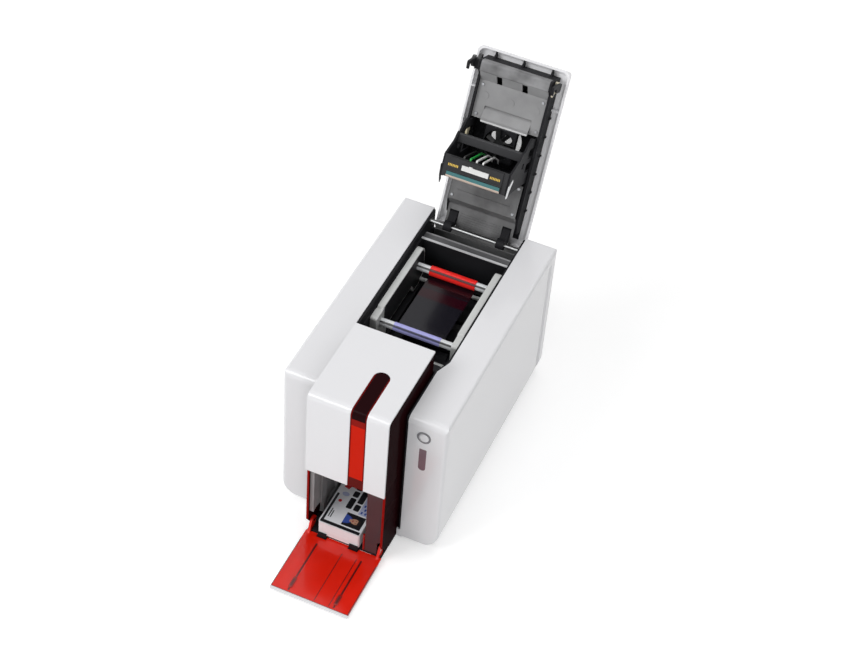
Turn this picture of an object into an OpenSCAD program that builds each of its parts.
// Desktop id card printer: two white side shells round a dark chassis, a card
// feeder with an output hopper below it, a lid that carries the print head, and
// a ribbon cassette in the open bay. Stored open: lid back, output door down.

/* [Housing] */
// Width over both side shells
body_w = 205; // [196:1:230]
// Depth of the side shells, front to back
body_d = 335; // [325:1:360]
// Top of the side shells above the table
shell_top = 216; // [212:1:226]
// Step out from the feeder column to the inner face of a side shell
recess_step = 11.8; // [11:0.2:14]
// Wall of the moulded covers
wall = 2.5; // [2:0.25:3]
// Height of the rubber feet
foot_h = 5; // [4:0.5:8]
// Round of the shells along their outer bottom edge
shell_bottom_r = 26; // [15:1:30]
// Round of the shells where top and front meet
shell_bend_r = 9; // [5:1:14]
// Height of the feeder and of the closed lid above the shells
cover_rise = 31; // [26:1:36]

/* [Feeder column] */
// Width of the feeder cover
column_w = 99.4; // [97:0.2:101]
// How far the column stands out in front of the shells
column_out = 46; // [40:1:52]
// Back edge of the feeder cover, behind the front of the shells
column_back = 79; // [76:1:82]
// Lower edge of the feeder cover above the table
cover_edge_z = 121; // [118:1:126]
// Round of the cover where top and front meet
cover_bend_r = 8; // [5:1:12]
// Width of the window strip
strip_w = 20; // [14:1:24]
// Middle of the window strip, right of the middle
strip_x = 13.2; // [8:0.2:16]
// Back end of the window strip, behind the front of the shells
strip_end = 22.8; // [10:0.2:35]
// Thickness of the red liner under the cover
liner_t = 2; // [1.5:0.25:3]
// How far the feeder cover opens
cover_open_deg = 70; // [45:5:80]

/* [Output door and hopper] */
// Hinge of the output door, in front of the shells
door_hinge_out = 31; // [30:0.5:32]
// Height of the door hinge
door_hinge_z = 17; // [16:0.5:17]
// Thickness of the door's clear inner panel
door_liner_t = 2; // [1.5:0.25:2.25]
// Number of cards in the output stack
output_cards_n = 28; // [5:1:60]
// Middle of the output stack, right of the middle
output_x = -7; // [-9:0.5:8]

/* [Cards and card path] */
// Card length
card_l = 85.6; // [85.6]
// Card width
card_w = 53.98; // [53.98]
// Card thickness
card_t = 0.76; // [0.76]
// Number of blank cards in the feeder
blank_cards_n = 100; // [20:1:100]
// Height of the card path
path_z = 140; // [138:0.5:143]

/* [Lid] */
// Gap between the lid and the side shells
lid_gap = 2.1; // [1.5:0.1:4]
// Lid hinge in front of the back of the shells
lid_hinge_back = 20; // [18:0.5:22]
// Lid hinge below the top of the shells
lid_hinge_drop = 6; // [5:0.5:7]
// Front edge of the closed lid behind the front of the shells
lid_front = 92; // [91:0.5:95]
// Height of the lid's side walls
lid_edge_h = 10; // [8:0.5:12]
// Angle between closed and open
lid_open_deg = 115; // [100:1:115]
// Radius of the lid's hinge rod
rod_r = 2.5; // [2:0.25:3.5]
// Gap between the lid's side wall and the black frame inside it
lid_frame_gap = 9.9; // [9:0.1:12]
// Print line in front of the lid hinge
head_u = 87; // [84:0.5:90]

/* [Ribbon] */
// Back spool behind the print line
supply_back = 27; // [25:0.5:30]
// Front spool in front of the print line
takeup_ahead = 80; // [77:0.5:83]
// Height of both spools
spool_z = 188; // [186:0.5:189]
// Radius of the spool cores
core_r = 4.5; // [4:0.25:5]
// Radius of the film on the back spool
supply_film_r = 6.5; // [5.5:0.25:8]
// Radius of the film on the front spool
takeup_film_r = 5.5; // [5.25:0.25:7]
// Half width of the film
film_half = 30; // [28:0.5:32]
// Gap between the cassette and the chassis plates
cassette_gap = 3.4; // [2.5:0.1:5]
// Thickness of the cassette's arms
arm_t = 8; // [7:0.5:9.5]

/* [Rollers] */
// Radius of the print roller and the feed rollers
roller_r = 8; // [7:0.25:9]
// Radius of every roller shaft
shaft_r = 3; // [2.5:0.25:3.5]
// Play of a shaft in its bore, on the radius
running_fit = 0.06; // [0.02:0.01:0.1]
// Gap between moving pieces that don't touch
gap = 0.4; // [0.3:0.05:0.6]

/* [Button] */
// Middle of the button, right of the middle
button_x = 74.3; // [70:0.1:80]
// Height of the button
button_z = 192.3; // [186:0.1:196]
// Radius of the button
button_r = 6.2; // [5:0.1:7]
// Travel of the button
button_travel = 1.2; // [0.6:0.1:2]
// Height of the status window
lens_h = 36; // [25:1:45]
// Width of the status window
lens_w = 9; // [6:0.5:12]

/* [Hidden] */
$fn = 48;

white = [0.92, 0.92, 0.93];
black = [0.07, 0.07, 0.08];
dark_grey = [0.25, 0.25, 0.27];
mid_grey = [0.5, 0.5, 0.51];
light_grey = [0.8, 0.81, 0.8];
red = [0.8, 0.1, 0.05];
dark_red = [0.28, 0.03, 0.04];
steel = [0.78, 0.79, 0.8];
rubber = [0.1, 0.1, 0.1];

// Widths and heights that follow from the sizes above. Y counts from the front
// of the side shells, and stand() moves it to the middle of the whole printer.
half_w = body_w / 2;
column_half = column_w / 2;
shell_in = column_half + recess_step;
column_wall_t = wall;
column_wall_out = column_half - 0.5;
column_wall_in = column_wall_out - column_wall_t;
slot_edge = column_half + 4.3;
frame_t = 2.6;
frame_in = shell_in - frame_t;
recess_y = column_back + 19;
closed_top = shell_top + cover_rise;
pan_top = foot_h + 3;
tray_top = pan_top + 0.5;
hinge_z = shell_top - lid_hinge_drop;
lid_hinge_y = body_d - lid_hinge_back;
lid_reach = lid_hinge_y - lid_front;
lid_top = closed_top - hinge_z;
lid_half = shell_in - lid_gap;
lid_rim = lid_top - lid_edge_h;
lid_frame_half = lid_half - wall - lid_frame_gap;
platen_y = lid_hinge_y - head_u;
supply_y = platen_y + supply_back;
takeup_y = platen_y - takeup_ahead;
cassette_half = frame_in - cassette_gap;
door_hinge_y = -door_hinge_out;
door_bottom = door_hinge_z - (column_out - door_hinge_out);
door_top = foot_h + 1;
door_len = cover_edge_z - 0.6 - door_hinge_z;
door_tip_y = door_hinge_y - door_len;
lid_tip_y = lid_hinge_y + lid_reach * -cos(lid_open_deg)
    + (lid_top - 3) * sin(lid_open_deg);
row_shift = -(door_tip_y + lid_tip_y) / 2;

// Round-cornered outlines: each point may carry a radius as its third number
function unit(v) = v / norm(v);
function turn_of(a) = a > 180 ? a - 360 : a < -180 ? a + 360 : a;
function xy(p) = [p[0], p[1]];
function corner(before, p, after, r, n) =
    let (u = unit(before - p), v = unit(after - p), half = acos(u * v) / 2,
         centre = p + unit(u + v) * r / sin(half),
         s = p + u * r / tan(half) - centre, e = p + v * r / tan(half) - centre,
         a = atan2(s.y, s.x), turn = turn_of(atan2(e.y, e.x) - a))
    [for (i = [0:n]) centre + r * [cos(a + turn * i / n), sin(a + turn * i / n)]];
module outline(points, n = 6) {
    count = len(points);
    polygon([for (i = [0:count - 1]) let (p = points[i])
        each len(p) < 3 ? [p] : corner(xy(points[(i + count - 1) % count]), xy(p),
            xy(points[(i + 1) % count]), p[2], n)]);
}

// Extrusions of a flat outline: (y, z) along X, (x, z) along Y, (x, y) along Z
module along_x(x0, x1) translate([x0, 0, 0]) rotate([90, 0, 90])
    linear_extrude(x1 - x0) children();
module along_y(y0, y1) translate([0, y1, 0]) rotate([90, 0, 0])
    linear_extrude(y1 - y0) children();
module along_z(z0, z1) translate([0, 0, z0]) linear_extrude(z1 - z0) children();
module box(x0, x1, y0, y1, z0, z1) translate([x0, y0, z0])
    cube([x1 - x0, y1 - y0, z1 - z0]);
module rod(x0, x1, y, z, r) translate([x0, y, z]) rotate([0, 90, 0])
    cylinder(h = x1 - x0, r = r);
module both_sides() {
    children();
    mirror([1, 0, 0]) children();
}
module stand() translate([0, row_shift, 0]) children();

// ---- side shells ----
module shell_form(inset, inner_x) intersection() {
    along_y(inset, body_d - inset)
        outline([[inner_x, shell_top - inset], [half_w - inset, shell_top - inset, 4],
            [half_w - inset, foot_h + inset, shell_bottom_r - inset],
            [inner_x, foot_h + inset]]);
    along_x(0, half_w)
        outline([[inset, foot_h + inset, 3], [inset, shell_top - inset, shell_bend_r - inset],
            [body_d - inset, shell_top - inset, 4], [body_d - inset, foot_h + inset, 4]]);
}
// Inner edge of a shell, which steps in beside the column
module shell_plan(inset) along_z(0, closed_top)
    outline([[slot_edge + inset, inset, 0.8], [slot_edge + inset, column_back, 4],
        [shell_in + inset, recess_y, 14], [shell_in + inset, body_d - inset],
        [half_w - inset, body_d - inset, 5 - inset], [half_w - inset, inset, 5 - inset]]);
groove_y = body_d - 21;
module shell_groove(grow) translate([half_w + 4.5, groove_y, 0])
    cylinder(h = shell_top - 12 + grow, r = 7.5 + grow);
sill_top = foot_h + 12;
slot_mid = (column_wall_out + slot_edge) / 2;
module side_shell() {
    difference() {
        intersection() {
            shell_form(0, 0);
            shell_plan(0);
        }
        difference() {
            intersection() {
                shell_form(wall, 0);
                union() {
                    shell_plan(wall);
                    box(0, half_w - wall - 5, recess_y, body_d - wall, 0, closed_top);
                }
            }
            shell_groove(wall);
        }
        shell_groove(0);
        box(0, shell_in, wall, body_d + 1, 0, pan_top);
    }
    difference() {
        box(column_half, slot_edge + wall, 0, wall, foot_h, sill_top + slot_edge - slot_mid);
        translate([slot_mid, -1, sill_top + slot_edge - slot_mid]) rotate([-90, 0, 0])
            cylinder(h = wall + 2, r = slot_edge - slot_mid);
    }
}
module left_shell() color(white) mirror([1, 0, 0]) side_shell();
module right_shell() color(white) difference() {
    side_shell();
    along_y(-1, wall + 1) lens_outline(0);
    translate([button_x, -1, button_z]) rotate([-90, 0, 0])
        cylinder(h = wall + 2, r = button_r + 2.3);
}

// ---- status window and button ----
lens_top = button_z - 19.8;
module lens_outline(inset) outline([
    [button_x - lens_w / 2 + inset, lens_top - inset, 1],
    [button_x + lens_w / 2 - inset, lens_top - inset, 1],
    [button_x + lens_w / 2 - inset, lens_top - lens_h + inset, lens_w / 2 - inset - 0.1],
    [button_x - lens_w / 2 + inset, lens_top - lens_h + inset, lens_w / 2 - inset - 0.1]]);
module status_lens() color([0.55, 0.45, 0.48]) {
    along_y(0, wall) lens_outline(0);
    along_y(wall, wall + 1.5) lens_outline(-1.5);
}
module button_bezel() color(steel) translate([button_x, 0, button_z]) rotate([-90, 0, 0])
    difference() {
        union() {
            translate([0, 0, -0.8]) cylinder(h = wall + 0.8, r = button_r + 2.3);
            translate([0, 0, wall]) cylinder(h = 1.5, r = button_r + 4);
        }
        translate([0, 0, -2]) cylinder(h = wall + 5, r = button_r + running_fit);
    }
module control_button() color(white) translate([button_x, 0, button_z]) rotate([-90, 0, 0])
    rotate_extrude() outline([[0, -1.6], [button_r - 2, -1.6], [button_r, -0.9, 0.8],
        [button_r, 5], [button_r + 2, 5], [button_r + 2, 7], [0, 7]]);

// ---- chassis ----
// Feet: the front pair stands under the hopper, the back pair under the pan
foot_places = [[column_half - 11.7, 14], [shell_in - 11.5, body_d - 30]];
pan_half = half_w - shell_bottom_r - 1;
module base_pan() color(black) difference() {
    union() {
        box(-shell_in, shell_in, wall, body_d - 4, foot_h, pan_top);
        box(-pan_half, pan_half, wall + 8, body_d - 10, foot_h + wall, pan_top + 2);
    }
    box(-frame_in, frame_in, wall + 12, body_d - 14, pan_top, pan_top + 5);
    box(-column_wall_out, column_wall_out, 0, column_back + 0.7, 0, pan_top + 5);
    both_sides() box(slot_edge - 5, shell_in, wall + 1, body_d, pan_top, pan_top + 5);
    both_sides() box(slot_edge, shell_in + wall + 1, wall + 1, recess_y + 12, pan_top, pan_top + 5);
    for (i = [0:7]) both_sides()
        box(18 + 4 * i, 20 + 4 * i, 180, 240, 0, pan_top + 5);
}
module feet() color(rubber) both_sides() for (p = foot_places)
    translate([p.x, p.y, 0]) rotate_extrude()
        outline([[0, 0], [8, 0, 0.8], [9.5, foot_h], [0, foot_h]]);

// Chassis plate inside a shell, which follows the shell's inner edge
module frame_plan() outline([[slot_edge - frame_t, wall], [slot_edge, wall], [slot_edge, column_back, 4],
    [shell_in, recess_y, 14], [shell_in, body_d - 4], [frame_in, body_d - 4],
    [frame_in, recess_y + 1, 14], [slot_edge - frame_t, column_back + 1.2, 4]]);
// The space between the two chassis plates, seen from above
module between_frames() along_z(0, closed_top) outline([[-slot_edge + frame_t, wall],
    [slot_edge - frame_t, wall], [slot_edge - frame_t, column_back + 1.2, 4],
    [frame_in, recess_y + 1, 14], [frame_in, body_d - 4], [-frame_in, body_d - 4],
    [-frame_in, recess_y + 1, 14], [-slot_edge + frame_t, column_back + 1.2, 4]]);
latch_u = lid_reach - 17;
latch_w = 8;
catch_y = lid_hinge_y - latch_u + 3;
catch_z = hinge_z + latch_w - 19;
module side_frame() {
    difference() {
        along_z(pan_top, shell_top - 1.5) frame_plan();
        for (y = [platen_y, infeed_y, transport_y])
            rod(frame_in - 1, shell_in + 1, y, roller_z, shaft_r + running_fit);
        rod(frame_in - 1, shell_in + 1, lid_hinge_y, hinge_z, rod_r);
        for (z = [40, 75]) box(frame_in - 1, shell_in + 1, 120, 280, z, z + 25);
    }
    rod(slot_edge, frame_in + 1, catch_y, catch_z, 2);
}
module left_frame() color(black) difference() {
    mirror([1, 0, 0]) side_frame();
    rod(-shell_in - 1, -frame_in + 1, takeup_y, spool_z, core_r + running_fit);
}
module right_frame() color(black) difference() {
    side_frame();
    rod(frame_in - 1, shell_in + 1, motor_y, motor_z, shaft_r + running_fit);
}

module hinge_rod() color(steel) rod(-shell_in, shell_in, lid_hinge_y, hinge_z, rod_r);
crossbar_y = lid_hinge_y - 17;
crossbar_z = hinge_z - 12;
module rear_crossbars() color(mid_grey) along_x(-frame_in, frame_in) {
    outline([[crossbar_y - 8, crossbar_z - 14], [crossbar_y - 8, crossbar_z, 2],
        [crossbar_y + 6, crossbar_z + 2, 2], [crossbar_y + 6, crossbar_z - 6],
        [crossbar_y + 4.5, crossbar_z - 6], [crossbar_y + 4.5, crossbar_z, 1],
        [crossbar_y - 6.5, crossbar_z - 1.6, 1], [crossbar_y - 6.5, crossbar_z - 14]]);
}
bridge_y = column_back + 1;
module finger_bridge() color(black) {
    intersection() {
        along_x(-shell_in, shell_in) outline([[bridge_y, shell_top - 22],
            [bridge_y, shell_top - 3, 2], [bridge_y + 15, shell_top - 7, 5],
            [bridge_y + 15, shell_top - 44], [bridge_y + 12.5, shell_top - 44],
            [bridge_y + 12.5, shell_top - 10, 4], [bridge_y + 2.5, shell_top - 7, 2],
            [bridge_y + 2.5, shell_top - 22]]);
        between_frames();
    }
}
// Two posts on the bridge hold the pins that the feeder cover turns on
cover_hinge_y = column_back - 4;
cover_hinge_z = closed_top - 9;
cover_pin_r = 3;
post_out = column_wall_in - 1;
module cover_posts() color(black) both_sides() {
    along_x(post_out - 4, post_out) {
        outline([[cover_hinge_y - 4, shell_top - 16], [cover_hinge_y - 4, cover_hinge_z],
            [cover_hinge_y + 4, cover_hinge_z], [cover_hinge_y + 4, shell_top - 6],
            [bridge_y, shell_top - 6], [bridge_y, shell_top - 16]]);
        translate([cover_hinge_y, cover_hinge_z]) circle(r = 4);
    }
    rod(post_out, column_wall_out - 0.5, cover_hinge_y, cover_hinge_z, cover_pin_r);
}

// ---- ribbon bay and card path ----
bay_front = column_back + 17;
bay_back = crossbar_y - 8.6;
bay_shelf_z = spool_z - 36;
module bay_liner() color(black) difference() {
    intersection() {
        box(-frame_in, frame_in, bay_front, bay_back, bay_shelf_z - 3, spool_z + 16);
        between_frames();
    }
    box(-frame_in + 2.5, frame_in - 2.5, bay_front + 2.5, bay_back - 2.5,
        bay_shelf_z, spool_z + 20);
    box(-44, 44, bay_front + 12, bay_back - 12, 0, bay_shelf_z + 1);
    rod(-frame_in - 1, -frame_in + 4, takeup_y, spool_z, core_r + 1);
    both_sides() box(hook_x - 2, frame_in + 1, bay_front - 1, catch_y + 8, catch_z - 30, closed_top);
}
infeed_y = 112;
transport_y = 176;
pickup_y = 20;
roller_z = path_z - card_t - gap - roller_r;
track_t = 3;
track_z = path_z - card_t - gap - 0.6;
guide_half = card_w / 2 + 0.6;
sleeve_half = 30;
module card_track() color(black) {
    difference() {
        intersection() {
            box(-frame_in, frame_in, column_back + 1, bay_back, track_z - track_t, track_z);
            between_frames();
        }
        for (y = [platen_y, infeed_y, transport_y])
            box(-sleeve_half - 2, sleeve_half + 2, y - roller_r - 1, y + roller_r + 1, 0, closed_top);
        feed_belt_way();
    }
    both_sides() {
        box(guide_half, guide_half + 2, column_back + 1, infeed_y - roller_r - 1, track_z, path_z + 2);
        box(guide_half, guide_half + 2, platen_y + roller_r + 1, bay_back, track_z, path_z + 2);
    }
}
pulley_r = 6;
flange_r = 8;
belt_t = 1.2;
belt_w = 6;
belt_play = 0.25;
pulley_x = shell_in + 4;
// Belt pulley round the X axis, with a flange at each end
module pulley(x) {
    translate([0, 0, x]) cylinder(h = belt_w + 1, r = pulley_r);
    for (side = [x - 1, x + belt_w + 1]) translate([0, 0, side]) cylinder(h = 1, r = flange_r);
}
// Steel shaft across the chassis with a rubber sleeve and a pulley outside it
module roller(y) translate([0, y, roller_z]) rotate([0, 90, 0]) {
    translate([0, 0, -shell_in - 2]) cylinder(h = shell_in + pulley_x + belt_w + 4, r = shaft_r);
    translate([0, 0, -sleeve_half]) cylinder(h = 2 * sleeve_half, r = roller_r);
    pulley(pulley_x);
}
module platen_roller() color(rubber) roller(platen_y);
module transport_roller() color(rubber) roller(transport_y);
small_pulley_r = 4.2;
feed_belt_x = 34;
module small_pulley() translate([0, 0, feed_belt_x]) cylinder(h = belt_w + 1, r = small_pulley_r);
module infeed_roller() color(rubber) {
    roller(infeed_y);
    translate([0, infeed_y, roller_z]) rotate([0, 90, 0]) small_pulley();
}
module pickup_roller() color(rubber) translate([0, pickup_y, roller_z]) rotate([0, 90, 0]) {
    translate([0, 0, -bearing_x - 4]) cylinder(h = 2 * bearing_x + 8, r = shaft_r);
    translate([0, 0, -12]) cylinder(h = 24, r = roller_r);
    small_pulley();
}
// Belt round equal pulleys: an arc at each pulley, joined by tangents
function belt_loop(p, r, n = 8) = let (m = len(p))
    [for (i = [0:m - 1]) let (a = p[(i + m - 1) % m], b = p[i], c = p[(i + 1) % m],
        a0 = atan2((b - a).y, (b - a).x) - 90,
        turn = turn_of(atan2((c - b).y, (c - b).x) - 90 - a0),
        sweep = turn < 0 ? turn + 360 : turn)
        for (k = [0:n]) let (t = a0 + sweep * k / n) b + r * [cos(t), sin(t)]];
module belt(points, r, x) along_x(x + 0.5, x + 0.5 + belt_w) difference() {
    polygon(belt_loop(points, r + belt_play + belt_t));
    polygon(belt_loop(points, (r + belt_play) / cos(12)));
}
motor_y = 146;
motor_z = 60;
module motor_pulley() color(light_grey) translate([0, motor_y, motor_z]) rotate([0, 90, 0]) {
    translate([0, 0, frame_in - 12]) cylinder(h = pulley_x + belt_w - frame_in + 14, r = shaft_r);
    pulley(pulley_x);
}
module drive_belt() color(black) {
    belt([[infeed_y, roller_z], [motor_y, motor_z], [platen_y, roller_z]], pulley_r, pulley_x);
    belt([[pickup_y, roller_z], [infeed_y, roller_z]], small_pulley_r, feed_belt_x);
}
// Room for the feed belt under the card path
module feed_belt_way() box(feed_belt_x - 1, feed_belt_x + belt_w + 2, pickup_y - 9, infeed_y + 9,
    roller_z - small_pulley_r - 3, roller_z + small_pulley_r + 3);
motor_half = 21;
module drive_motor() color(dark_grey) difference() {
    union() {
        along_x(frame_in - 40, frame_in - 3)
            outline([for (c = [[-1, -1], [1, -1], [1, 1], [-1, 1]])
                [motor_y + c.x * motor_half, motor_z + c.y * motor_half, 4]]);
        rod(frame_in - 3, frame_in, motor_y, motor_z, 11);
    }
    rod(frame_in - 20, frame_in + 1, motor_y, motor_z, shaft_r + running_fit);
}

// ---- ribbon drive: pinion and gear outside the left chassis plate ----
gear_module = 1;
pinion_teeth = 14;
takeup_teeth = 42;
gear_distance = gear_module * (pinion_teeth + takeup_teeth) / 2;
gear_angle = -60;
ribbon_axis_y = takeup_y + gear_distance * cos(gear_angle);
ribbon_axis_z = spool_z + gear_distance * sin(gear_angle);
gear_x = shell_in + 3;
// Spur gear outline with flanks that narrow towards the tip, and some backlash
module gear_outline(teeth, phase) {
    pitch_r = gear_module * teeth / 2;
    step = 360 / teeth;
    polygon([for (i = [0:teeth - 1])
        each [for (q = [[-0.36, -1.2], [-0.22, 0], [-0.11, 0.95], [0.11, 0.95], [0.22, 0], [0.36, -1.2]])
            let (a = phase + step * (i + q[0])) (pitch_r + q[1] * gear_module) * [cos(a), sin(a)]]]);
}
module ribbon_pinion() color(light_grey) {
    translate([0, ribbon_axis_y, ribbon_axis_z]) along_x(-gear_x - 7, -gear_x)
        rotate(180 + gear_angle + 180 / pinion_teeth) gear_outline(pinion_teeth, 0);
    rod(-gear_x - 18, -shell_in - 1, ribbon_axis_y, ribbon_axis_z, shaft_r);
}
module takeup_gear() color(light_grey) {
    translate([0, takeup_y, spool_z]) along_x(-gear_x - 6, -gear_x)
        rotate(gear_angle) gear_outline(takeup_teeth, 0);
    rod(-gear_x - 6, -cassette_half - 0.2, takeup_y, spool_z, core_r);
}
module ribbon_motor() color(dark_grey) difference() {
    union() {
        rod(-half_w + wall + 3.5, -gear_x - 9, ribbon_axis_y, ribbon_axis_z, 13);
        box(-gear_x - 11, -gear_x - 9, ribbon_axis_y - 17, ribbon_axis_y + 17,
            ribbon_axis_z - 20, ribbon_axis_z);
        for (y = [ribbon_axis_y - 14, ribbon_axis_y + 14])
            rod(-gear_x - 9, -shell_in, y, ribbon_axis_z - 17, 2.5);
    }
    rod(-gear_x - 20, -gear_x, ribbon_axis_y, ribbon_axis_z, shaft_r + running_fit);
}
module main_board() color([0.1, 0.35, 0.2]) {
    box(-shell_in - 12, -shell_in - 10.4, 40, body_d - 45, 30, 120);
    for (p = [[60, 60, 18], [110, 70, 26], [170, 50, 20], [230, 80, 30]])
        box(-shell_in - 16, -shell_in - 12, p[0], p[0] + p[2], p[1], p[1] + p[2]);
    for (y = [46, body_d - 51]) for (z = [36, 114])
        rod(-shell_in - 10.4, -shell_in, y, z, 2.5);
}

// ---- back of the printer ----
rear_top = hinge_z - 26;
rear_y = body_d - 4;
inlet_x = 38;
switch_x = 12;
port_z = 34;
switch_z = 36;
module rear_panel() color(white) {
    rear_plate();
    switch_ears();
}
module rear_plate() difference() {
    along_x(-shell_in, shell_in) outline([[rear_y, pan_top - 3], [rear_y + 3, pan_top - 3],
        [rear_y + 3, rear_top, 2], [rear_y, rear_top]]);
    for (i = [0:11]) box(-40, 40, rear_y - 1, rear_y + 4, 84 + 7 * i, 87 + 7 * i);
    along_y(rear_y - 1, rear_y + 4) translate([inlet_x, port_z]) circle(r = 8.2);
    box(switch_x - 7, switch_x + 7, rear_y - 1, rear_y + 4, switch_z - 10, switch_z + 10);
    box(-22, -9, rear_y - 1, rear_y + 4, port_z - 6, port_z + 6);
    box(-50, -32, rear_y - 1, rear_y + 4, port_z - 7, port_z + 7);
}
switch_axis_y = rear_y - 4;
switch_pin_r = 1.5;
module power_inlet() color(black) translate([inlet_x, rear_y, port_z]) rotate([-90, 0, 0])
    difference() {
        union() {
            translate([0, 0, -14]) cylinder(h = 14, r = 9.5);
            cylinder(h = 3.6, r = 8.2);
        }
        translate([0, 0, -9]) difference() {
            cylinder(h = 20, r = 5.5);
            for (a = [45:90:315]) rotate(a) translate([2.6, 0, 0]) cylinder(h = 9, r = 0.7);
        }
    }
module data_ports() color(steel) {
    difference() {
        box(-22, -9, rear_y - 14, rear_y + 3, port_z - 6, port_z + 6);
        box(-20, -11, rear_y - 10, rear_y + 4, port_z - 4.5, port_z + 4.5);
    }
    box(-18, -13, rear_y - 10, rear_y + 1, port_z - 1.5, port_z + 1.5);
    difference() {
        box(-50, -32, rear_y - 18, rear_y + 3, port_z - 7, port_z + 7);
        box(-47.5, -34.5, rear_y - 14, rear_y + 4, port_z - 5, port_z + 3.5);
        box(-44, -38, rear_y - 14, rear_y + 4, port_z + 3, port_z + 5.5);
    }
}
// Two ears behind the panel hold the rocker's pins
module switch_ears() for (side = [-1, 1]) difference() {
    box(switch_x + side * 8 - 1, switch_x + side * 8 + 1, switch_axis_y - 4, rear_y,
        switch_z - 4, switch_z + 4);
    rod(switch_x - 10, switch_x + 10, switch_axis_y, switch_z, switch_pin_r + running_fit);
}
rocker_tilt = 8;
module power_switch() color(black) translate([switch_x, switch_axis_y, switch_z])
    rotate([-rocker_tilt, 0, 0]) {
        along_x(-6, 6) outline([[-4, -6.5, 1], [6.2, -8.2, 1], [7.4, 0], [6.2, 8.2, 1], [-4, 6.5, 1]]);
        rod(-8.6, 8.6, 0, 0, switch_pin_r);
    }

// ---- feeder column: lower walls, hopper and card stacks ----
hopper_front = -column_out;
wall_front = hopper_front + door_top - door_bottom + gap;
module hopper_walls() color(dark_red) {
    both_sides() difference() {
        along_x(column_wall_in, column_wall_out) outline([[hopper_front + 16, tray_top, 2],
            [wall_front, door_hinge_z + 10, 4], [wall_front, cover_edge_z - 0.6],
            [column_back, cover_edge_z - 0.6], [column_back, tray_top]]);
        rod(column_wall_in - 1, column_wall_out + 1, door_hinge_y, door_hinge_z, 2);
    }
    both_sides() rod(column_wall_in - 4, column_wall_out, door_hinge_y, door_hinge_z, 2);
}
tray_front = -39.5;
module hopper_tray() color(black) {
    difference() {
        box(-column_wall_out, column_wall_out, tray_front, column_back, foot_h, tray_top);
        both_sides() box(column_wall_in - 4.5, column_half, tray_front - 1, door_hinge_y + 12, 0, closed_top);
    }
    for (x = [-36 : 12 : 24]) box(x, x + 1.5, -30, column_back - 4, tray_top, tray_top + 1);
}
eject_z = cover_edge_z - 20;
feeder_floor = path_z - card_t - gap + 0.36;
module hopper_back() color(black) difference() {
    box(-column_wall_in, column_wall_in, column_back - 3, column_back, tray_top, feeder_floor - 7);
    box(-guide_half, guide_half, column_back - 4, column_back + 1, eject_z, eject_z + 6);
    feed_belt_way();
}
module hopper_guides() color(mid_grey) both_sides() difference() {
    box(column_wall_in - 5, column_wall_in, wall_front + 4, 44, tray_top, cover_edge_z - 4);
    for (y = [[-20, -15], [-2, 28]])
        box(column_wall_in - 6, column_wall_in - 2, y[0], y[1], tray_top + 6, cover_edge_z - 8);
    rod(column_wall_in - 6, column_wall_in + 1, door_hinge_y, door_hinge_z, 23);
}
stack_front = -41.5;
output_bottom = tray_top + 1;
module card_outline() outline([[-card_w / 2, 0, 3.2], [card_w / 2, 0, 3.2],
    [card_w / 2, card_l, 3.2], [-card_w / 2, card_l, 3.2]]);
module output_cards() color([0.93, 0.93, 0.95]) translate([output_x, stack_front, 0])
    along_z(output_bottom, output_bottom + output_cards_n * card_t) card_outline();
pad_w = 11;
module card_pads() color(rubber) for (x = [output_x - card_w / 2 + 1, output_x + card_w / 2 - 1 - pad_w])
    difference() {
        box(x, x + pad_w, stack_front - 2, stack_front + 4, foot_h, output_bottom + 3);
        box(x - 1, x + pad_w + 1, stack_front, stack_front + 5, output_bottom, output_bottom + 9);
        box(x - 1, x + pad_w + 1, tray_front, 20, 0, tray_top);
    }
feeder_back = stack_front + 4 + card_l + 1.9;
bearing_x = 26;
feeder_half = column_wall_in - 1;
feeder_front = hopper_front + wall + liner_t + gap;
module feeder_tray() color(black) {
    difference() {
        box(-feeder_half, feeder_half, feeder_front, column_back + 1, feeder_floor - 7, feeder_floor);
        box(-14, 14, pickup_y - roller_r - 1, pickup_y + roller_r + 1, 0, closed_top);
        box(-bearing_x - 5, bearing_x + 5, pickup_y - shaft_r - 1, pickup_y + shaft_r + 1,
            0, roller_z + shaft_r + 1);
        feed_belt_way();
    }
    both_sides() difference() {
        along_x(bearing_x - 3, bearing_x) outline([[pickup_y - 7, roller_z - 7, 3],
            [pickup_y + 7, roller_z - 7, 3], [pickup_y + 7, feeder_floor - 2],
            [pickup_y - 7, feeder_floor - 2]]);
        rod(bearing_x - 4, bearing_x + 1, pickup_y, roller_z, shaft_r + running_fit);
    }
    difference() {
        box(-feeder_half, feeder_half, feeder_back, feeder_back + 3, feeder_floor, closed_top - 16);
        box(-guide_half, guide_half, feeder_back - 1, feeder_back + 4, 0, path_z + 1.2);
        for (x = [-24, 12]) box(x, x + 12, feeder_back - 1, feeder_back + 4, path_z + 20, closed_top - 30);
    }
    both_sides() difference() {
        along_x(guide_half, guide_half + 2) outline([[stack_front + 6, feeder_floor],
            [stack_front + 6, path_z + 50, 10], [stack_front + 30, closed_top - 20, 10],
            [feeder_back + 1, closed_top - 20], [feeder_back + 1, feeder_floor]]);
        along_x(guide_half - 1, guide_half + 3) outline([[-20, path_z + 10, 4], [-20, path_z + 60, 4],
            [feeder_back - 12, path_z + 60, 4], [feeder_back - 12, path_z + 10, 4]]);
    }
}
module blank_cards() color([0.93, 0.93, 0.92]) translate([0, stack_front + 4, 0])
    along_z(feeder_floor, feeder_floor + blank_cards_n * card_t) card_outline();

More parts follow.
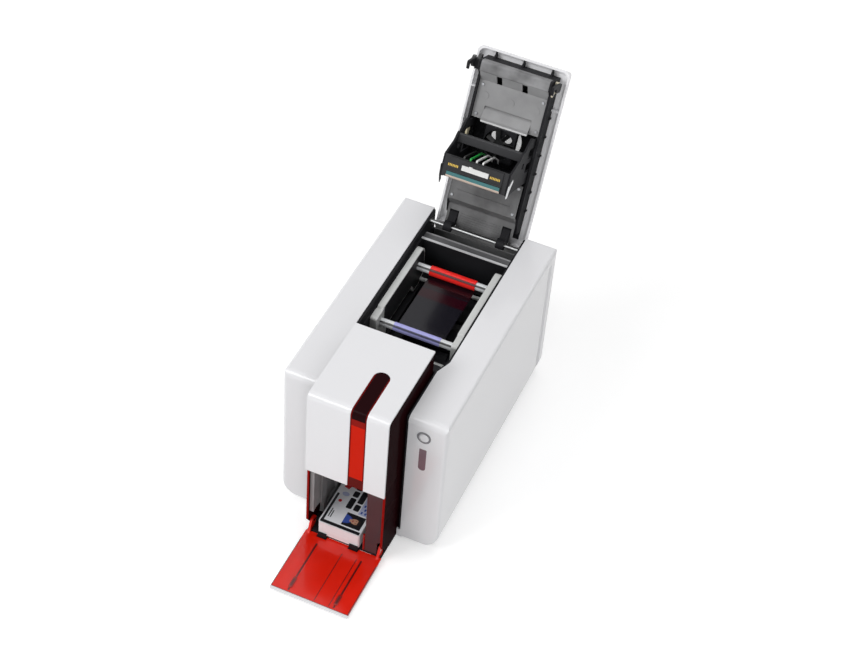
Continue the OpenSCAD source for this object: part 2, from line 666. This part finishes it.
// ---- feeder cover: white skin over a dark red liner, hinged at its back ----
module cover_path(inset, drop) outline([[hopper_front + inset, cover_edge_z],
    [hopper_front + inset, closed_top - inset, cover_bend_r - inset],
    [column_back, closed_top - inset], [column_back, closed_top - drop],
    [hopper_front + drop, closed_top - drop, max(cover_bend_r - drop, 1)],
    [hopper_front + drop, cover_edge_z]]);
module strip_slot(grow) {
    box(strip_x - strip_w / 2 - grow, strip_x + strip_w / 2 + grow, hopper_front - 1,
        strip_end - strip_w / 2, cover_edge_z - 1, closed_top + 1);
    translate([strip_x, strip_end - strip_w / 2, closed_top - 20])
        cylinder(h = 30, r = strip_w / 2 + grow);
}
module cover_skin() color(white) difference() {
    along_x(-column_half, column_half) cover_path(0, wall);
    strip_slot(0);
}
module cover_liner() color(dark_red) {
    along_x(-column_wall_out, column_wall_out) cover_path(wall, wall + liner_t);
    both_sides() difference() {
        along_x(column_wall_in, column_wall_out) outline([[hopper_front + wall, cover_edge_z],
            [hopper_front + wall, closed_top - wall, cover_bend_r - wall],
            [column_back - 0.5, closed_top - wall], [column_back - 0.5, closed_top - 20, 8],
            [cover_hinge_y, cover_edge_z]]);
        rod(column_wall_in - 1, column_wall_out + 1, cover_hinge_y, cover_hinge_z,
            cover_pin_r + running_fit);
    }
    intersection() {
        along_x(-column_half, column_half) cover_path(0.4, wall + 0.1);
        strip_slot(-0.15);
    }
}

// ---- output door: clear red panel with a white outer skin ----
door_near = door_hinge_y - 9.5;
module door_skin() color(white) {
    box(-column_half, column_half, door_tip_y, door_near - 8, door_bottom, door_bottom + 1.8);
    box(-column_half, column_half, door_tip_y, door_tip_y + 1.8, door_bottom + 1.8, door_top);
}
module door_liner() color(red) {
    difference() {
        union() {
            box(-column_wall_out, column_wall_out, door_tip_y + 1.8, door_near,
                door_bottom + 1.8, door_top);
            both_sides() along_x(column_wall_in - 3.4, column_wall_in - gap)
                outline([[door_near - 8, door_bottom + 1.8], [door_hinge_y, door_bottom + 1.8, 6],
                    [door_hinge_y + 5.5, door_hinge_z - 3, 4], [door_hinge_y + 5.5, door_hinge_z + 5, 5],
                    [door_hinge_y - 5.5, door_hinge_z + 5, 5], [door_near - 3, door_top, 4],
                    [door_near - 8, door_top]]);
        }
        both_sides() rod(column_wall_in - 6, column_wall_in, door_hinge_y, door_hinge_z,
            2 + running_fit);
        for (x = [output_x - card_w / 2 + 1, output_x + card_w / 2 - 1 - pad_w])
            box(x - 1, x + pad_w + 1, door_near - 4.7, door_near + 9, 0, 12);
        for (x = [-28, 30]) box(x - 0.8, x + 0.8, door_tip_y + 5, door_near - 14,
            door_top - 0.8, door_top + 1);
        for (x = [strip_x - 8, strip_x + 10.6]) box(x - 0.4, x + 0.4, door_tip_y + 2, door_near - 14,
            door_top - 0.6, door_top + 1);
    }
}

// ---- cassette and film ----
arm_in = cassette_half - arm_t;
arm_front = takeup_y - 13;
arm_back = supply_y + 20;
module cassette_frame() color(light_grey) {
    difference() {
        both_sides() {
            along_x(arm_in, cassette_half) outline([[arm_front, bay_shelf_z, 2],
                [arm_front, spool_z + 14, 3], [arm_front + 18, spool_z + 14, 1],
                [arm_front + 21, spool_z + 17, 2], [arm_back, spool_z + 17, 8],
                [arm_back, bay_shelf_z + 8, 8], [arm_back - 12, bay_shelf_z, 4],
                [arm_back - 30, bay_shelf_z, 4], [arm_back - 38, bay_shelf_z + 14, 6],
                [takeup_y + 22, bay_shelf_z + 14, 6], [takeup_y + 14, bay_shelf_z, 4]]);
            along_x(cassette_half, cassette_half + 0.8)
                outline([[arm_front, bay_shelf_z + 20], [arm_front, spool_z + 14, 3],
                    [arm_front + 18, spool_z + 14], [arm_front + 18, bay_shelf_z + 20]]);
        }
        rod(-70, 70, takeup_y, spool_z, core_r + running_fit);
        rod(-70, 70, supply_y, spool_z, core_r + running_fit);
    }
    for (y = [arm_front + 5, arm_back - 10])
        rod(-arm_in, arm_in, y, bay_shelf_z + 6, 2.5);
}
module spool(y, reach) difference() {
    union() {
        rod(-arm_in + gap, arm_in - gap, y, spool_z, core_r + 0.5);
        rod(-cassette_half + reach, cassette_half, y, spool_z, core_r);
    }
    rod(film_half + 12, cassette_half + 5, y, spool_z, core_r - 1.5);
}
module supply_spool() color(light_grey) spool(supply_y, 0);
module takeup_spool() color(light_grey) spool(takeup_y, 0);
module film_roll(y, r) difference() {
    rod(-film_half, film_half, y, spool_z, r);
    rod(-film_half - 1, film_half + 1, y, spool_z, core_r + 0.5);
}
module supply_film() color([0.9, 0.05, 0.05]) film_roll(supply_y, supply_film_r);
module takeup_film() color([0.7, 0.7, 0.95]) film_roll(takeup_y, takeup_film_r);
// The free web runs from roll to roll along their undersides
web_t = 0.3;
module ribbon_web() color([0.15, 0.05, 0.1]) along_x(-film_half, film_half)
    polygon([[takeup_y, spool_z - takeup_film_r - gap], [supply_y, spool_z - supply_film_r - gap],
        [supply_y, spool_z - supply_film_r - gap - web_t],
        [takeup_y, spool_z - takeup_film_r - gap - web_t]]);

// ---- lid: drawn closed, u forward and w up from the hinge, then swung open ----
function uw(u, w, r = 0) = r > 0 ? [-u, w, r] : [-u, w];
module in_lid() translate([0, lid_hinge_y, hinge_z]) rotate([-lid_open_deg, 0, 0]) children();
module lid_rod(x0, x1, u, w, r) rod(x0, x1, -u, w, r);
module lid_box(x0, x1, u0, u1, w0, w1) box(x0, x1, -u1, -u0, w0, w1);
lid_round = 5;
module lid_form(inset) intersection() {
    along_x(-lid_half + inset, lid_half - inset) outline([uw(-8 + inset, lid_rim - inset * 2),
        uw(-7 + inset, lid_top - inset, 8 - inset), uw(lid_reach - inset, lid_top - inset, 7 - inset),
        uw(lid_reach - inset, lid_rim - inset * 2)]);
    along_y(-lid_reach, 20) outline([[-lid_half + inset, 0], [-lid_half + inset, lid_top - inset, lid_round],
        [lid_half - inset, lid_top - inset, lid_round], [lid_half - inset, 0]]);
    along_z(-10, lid_top) outline([[-lid_half + inset, 20], [-lid_half + inset, -lid_reach + inset, 7],
        [lid_half - inset, -lid_reach + inset, 7], [lid_half - inset, 20]]);
}
module lid_shell() color(white) in_lid() difference() {
    lid_form(0);
    lid_form(wall);
}
skin_w = lid_top - wall;
rail_t = 3;
rail_in = lid_frame_half - rail_t;
knuckle_r = 6.5;
plate_w = 14;
bar_u = lid_reach - 25;
tip_u = lid_reach - 11;
module lid_frame() color(black) in_lid() difference() {
    union() {
        both_sides() along_x(rail_in, lid_frame_half)
            outline([uw(12, skin_w), uw(12, 18, 4), uw(30, 9, 6), uw(bar_u - 3, 9, 4),
                uw(bar_u + 2, 1, 2), uw(tip_u, 1, 3), uw(tip_u, skin_w)]);
        lid_box(-lid_frame_half, lid_frame_half, 2, tip_u, skin_w - 2, skin_w);
        lid_box(-lid_frame_half, lid_frame_half, tip_u - 2.5, tip_u, latch_w + 4.5, skin_w);
        for (x = [8 - rail_in, 0, rail_in - 7]) along_x(x - 1, x + 1)
            outline([uw(tip_u, skin_w - 12), uw(tip_u, skin_w), uw(tip_u + 3, skin_w),
                uw(tip_u + 8, skin_w - 5)]);
        both_sides() along_x(rail_in - 14, rail_in - 4) outline([uw(18, skin_w), uw(18, 14, 5), uw(4, 5, 3), uw(-4, 5),
            uw(-4, 10, 4), uw(6, 22, 8), uw(10, skin_w)]);
        both_sides() lid_rod(rail_in - 14, rail_in - 4, 0, 0, knuckle_r);
        for (u = [40 : 24 : 180]) both_sides() along_x(lid_frame_half, lid_frame_half + 1.6)
            outline([uw(u, skin_w), uw(u, skin_w - 9), uw(u + 1.6, skin_w - 9), uw(u + 1.6, skin_w)]);
    }
    both_sides() lid_rod(rail_in - 15, rail_in - 3, 0, 0, rod_r + running_fit);
    both_sides() lid_rod(rail_in - 1, lid_frame_half + 1, latch_u, latch_w, latch_rod_r + running_fit);
}
recess_half = 30.5;
ramp_foot = head_u + 52;
plate_len = bar_u - ramp_foot;
recess_top = ramp_foot + 0.29 * plate_len;
module lid_plate() color(mid_grey) in_lid() {
    difference() {
        union() {
            along_x(-rail_in, rail_in) outline([uw(ramp_foot, plate_w), uw(bar_u - 12, plate_w),
                uw(bar_u, 4), uw(bar_u, 6.4), uw(bar_u - 11, plate_w + 2), uw(ramp_foot, plate_w + 2)]);
            for (x = [11 - rail_in, 0, rail_in - 11]) translate([x, -ramp_foot - plate_len / 2, plate_w - 0.6]) cylinder(h = 1, r = 4.5);
        }
        lid_box(-recess_half, recess_half, ramp_foot - 1, recess_top, plate_w - 2, plate_w + 4);
        for (x = [-19, 14]) lid_box(x - 3.5, x + 3.5, bar_u - 12, bar_u - 1, 0, 20);
    }
    along_x(-recess_half, recess_half) outline([uw(recess_top, plate_w + 2),
        uw(recess_top + 2, plate_w + 2), uw(recess_top + 2, plate_w + 6), uw(recess_top - 1, plate_w + 6),
        uw(ramp_foot + 2.5, plate_w - 3), uw(ramp_foot - 1.5, plate_w - 3),
        uw(ramp_foot - 1.5, plate_w - 5), uw(ramp_foot + 3.2, plate_w - 5), uw(recess_top, plate_w + 4)]);
}
module lid_front_bar() color(dark_grey) in_lid() along_x(-rail_in, rail_in)
    outline([uw(bar_u, 8), uw(bar_u, 1, 2), uw(tip_u, 1, 3), uw(tip_u, latch_w + 4),
        uw(tip_u - 1.6, latch_w + 4), uw(tip_u - 1.6, 2.8, 2), uw(bar_u + 1.6, 2.8, 1), uw(bar_u + 1.6, 8)]);
module lid_back_plate() color(mid_grey) in_lid() difference() {
    union() {
        along_x(-rail_in, rail_in) outline([uw(78, 0), uw(78, 2), uw(37, 2), uw(28, plate_w, 3),
            uw(19, plate_w), uw(19, plate_w - 2), uw(27, plate_w - 2, 3), uw(36, 0)]);
        lid_box(15 - rail_in, rail_in - 15, -3, 20, plate_w - 2, plate_w);
        both_sides() lid_box(rail_in - 3, rail_in, -3, 20, plate_w - 2, plate_w);
    }
    for (u = [-1 : 3 : 17]) lid_box(17 - rail_in, rail_in - 17, u, u + 1.2, plate_w - 3, plate_w - 1.4);
    lid_box(-34.6, 34.6, 49, 50.2, -1, 0.8);
}
cheek_x = rail_in - 3.5;
cheek_t = 2.5;
head_w = path_z - hinge_z + gap;
pcb_w = head_w + 2.4;
back_u = head_u - 6;
module head_carriage() color(black) in_lid() difference() {
    union() {
        both_sides() along_x(cheek_x, cheek_x + cheek_t) outline([uw(back_u, skin_w - 2),
            uw(back_u, -40, 4), uw(back_u - 3, head_w + 12, 2), uw(back_u, head_w + 5, 2),
            uw(head_u + 21, head_w + 5, 3), uw(head_u + 32, -40, 6), uw(head_u + 41, -32, 3),
            uw(head_u + 41, -25, 3), uw(head_u + 55, -8, 6), uw(head_u + 50, 6, 3),
            uw(head_u + 50, skin_w - 2)]);
        lid_box(-cheek_x, cheek_x, back_u, back_u + 2, head_w + 14, skin_w - 2);
        for (x = [-30 : 12 : 30]) along_x(x, x + 1.4) outline([uw(back_u + 1, -45),
            uw(back_u + 10, -45), uw(back_u + 4, 20), uw(back_u + 1, 20)]);
    }
    both_sides() lid_rod(cheek_x - 1, cheek_x + 4, head_u + 22, -22, 4);
    for (u = [10, 28]) both_sides() along_x(cheek_x - 1, cheek_x + 4)
        outline([uw(head_u + u, -8, 3), uw(head_u + u + 12, -8, 3), uw(head_u + u + 12, 22, 3),
            uw(head_u + u, 22, 3)]);
}
module carriage_bar() color(mid_grey) in_lid() {
    along_x(-cheek_x, cheek_x)
        outline([uw(head_u + 29, -31), uw(head_u + 40, -31, 1.5), uw(head_u + 40, -25.5, 1.5),
            uw(head_u + 38.6, -25.5), uw(head_u + 38.6, -29), uw(head_u + 29, -29)]);
    for (x = [-head_half, head_half - 3]) along_x(x, x + 3) outline([uw(head_u + 31, -30), uw(head_u + 39, -30),
        uw(head_u + 39, -26.5), uw(head_u + 38, -26.5)]);
}
head_half = cheek_x - 6;
module print_head() color(dark_grey) in_lid() {
    along_x(-cheek_x, cheek_x) outline([uw(back_u, head_w + 14), uw(back_u, pcb_w + 1.6, 1),
        uw(head_u + 21, pcb_w + 1.6), uw(head_u + 21, pcb_w + 6, 2), uw(head_u + 10, pcb_w + 8, 3),
        uw(head_u, head_w + 14, 3)]);
    for (x = [-32 : 8 : 32]) along_x(x, x + 1.6) outline([uw(head_u + 3, pcb_w + 6),
        uw(head_u + 19, pcb_w + 5), uw(head_u + 19, pcb_w + 9), uw(head_u + 3, pcb_w + 12)]);
    along_x(-head_half, head_half) outline([uw(head_u - 5, pcb_w + 1.6), uw(head_u - 4, head_w + 1, 1),
        uw(head_u - 2.5, head_w, 0.6), uw(head_u + 2, head_w, 0.6), uw(head_u + 3, pcb_w, 0.8),
        uw(head_u + 20, pcb_w), uw(head_u + 20, pcb_w + 1.6)]);
}
module head_cable() color([0.92, 0.92, 0.9]) in_lid() {
    lid_box(-17, 17, head_u + 8, head_u + 14, pcb_w - 1.6, pcb_w);
    for (x = [-18, -10, -2, 6]) along_x(x - 1, x + 1) outline([uw(head_u + 21, pcb_w + 3),
        uw(head_u + 24, pcb_w + 3, 2), uw(head_u + 22, -20, 6), uw(head_u + 14, 0, 5), uw(head_u + 8, 4),
        uw(head_u + 8, 2), uw(head_u + 13, -2, 5), uw(head_u + 20, -20, 6), uw(head_u + 22, pcb_w + 5),
        uw(head_u + 21, pcb_w + 5)]);
}
fan_x = 0;
fan_u = head_u + 30;
fan_half = 20;
fan_w = 4;
module fan_housing() color(black) in_lid() difference() {
    union() {
        lid_box(fan_x - fan_half, fan_x + fan_half, fan_u - fan_half, fan_u + fan_half, fan_w, fan_w + 10);
        for (x = [-1, 1]) for (u = [-1, 1])
            translate([fan_x + x * (fan_half - 3), -fan_u + u * (fan_half - 3), fan_w + 9])
                cylinder(h = skin_w - fan_w - 11, r = 2.5);
    }
    translate([fan_x, -fan_u, fan_w - 1]) cylinder(h = 9, r = fan_half - 1);
    for (a = [0:90:270]) translate([fan_x, -fan_u, 0]) rotate(a + 45)
        translate([11.4, 0, fan_w + 6]) cylinder(h = 6, r = 5.5);
    translate([fan_x, -fan_u, fan_w + 6]) cylinder(h = 6, r = 1.5 + running_fit);
}
module fan_rotor() color(white) in_lid() translate([fan_x, -fan_u, 0]) {
    translate([0, 0, fan_w + 1]) cylinder(h = 6, r = 7);
    translate([0, 0, fan_w + 1]) cylinder(h = 8, r = 1.5);
    for (a = [0:360 / 7:359]) rotate(a) translate([6, 0, fan_w + 1.5]) rotate([35, 0, 0])
        box(0, fan_half - 8.5, -2.8, 2.8, 1.6, 2.8);
}
// Latch: a turning rod with a hook at each end that goes under the catch pins
latch_rod_r = 2.2;
hook_x = lid_half - wall - 4.4;
module lid_latch() color(black) in_lid() {
    lid_rod(-hook_x - 3, hook_x + 3, latch_u, latch_w, latch_rod_r);
    both_sides() along_x(hook_x, hook_x + 3) outline([uw(latch_u + 5, latch_w + 6, 3),
        uw(latch_u - 6, latch_w + 6, 3), uw(latch_u - 5, latch_w - 8, 4), uw(latch_u + 1.5, latch_w - 15),
        uw(latch_u + 1.5, latch_w - 23), uw(latch_u - 5, latch_w - 23), uw(latch_u - 5, latch_w - 26, 1),
        uw(latch_u + 5, latch_w - 28, 2), uw(latch_u + 6, latch_w - 14, 6)]);
    mirror([1, 0, 0]) along_x(hook_x - 4, hook_x)
        outline([uw(latch_u - 8, latch_w - 4, 2), uw(latch_u + 5, latch_w - 4, 3),
            uw(latch_u + 5, latch_w + 5, 3), uw(latch_u - 8, latch_w + 5, 3)]);
}

stand() base_pan();
stand() feet();
stand() left_shell();
stand() right_shell();
stand() left_frame();
stand() right_frame();
stand() rear_panel();
stand() power_inlet();
stand() data_ports();
stand() power_switch();
stand() hinge_rod();
stand() rear_crossbars();
stand() finger_bridge();
stand() cover_posts();
stand() bay_liner();
stand() card_track();
stand() platen_roller();
stand() infeed_roller();
stand() transport_roller();
stand() pickup_roller();
stand() motor_pulley();
stand() drive_belt();
stand() drive_motor();
stand() ribbon_motor();
stand() ribbon_pinion();
stand() takeup_gear();
stand() main_board();
stand() hopper_walls();
stand() hopper_tray();
stand() hopper_back();
stand() hopper_guides();
stand() card_pads();
stand() feeder_tray();
stand() blank_cards();
stand() output_cards();
stand() button_bezel();
stand() control_button();
stand() status_lens();
stand() cassette_frame();
stand() supply_spool();
stand() supply_film();
stand() takeup_spool();
stand() takeup_film();
stand() ribbon_web();
stand() cover_skin();
stand() cover_liner();
stand() door_skin();
stand() door_liner();
stand() lid_shell();
stand() lid_frame();
stand() lid_plate();
stand() lid_front_bar();
stand() lid_back_plate();
stand() head_carriage();
stand() carriage_bar();
stand() print_head();
stand() head_cable();
stand() fan_housing();
stand() fan_rotor();
stand() lid_latch();
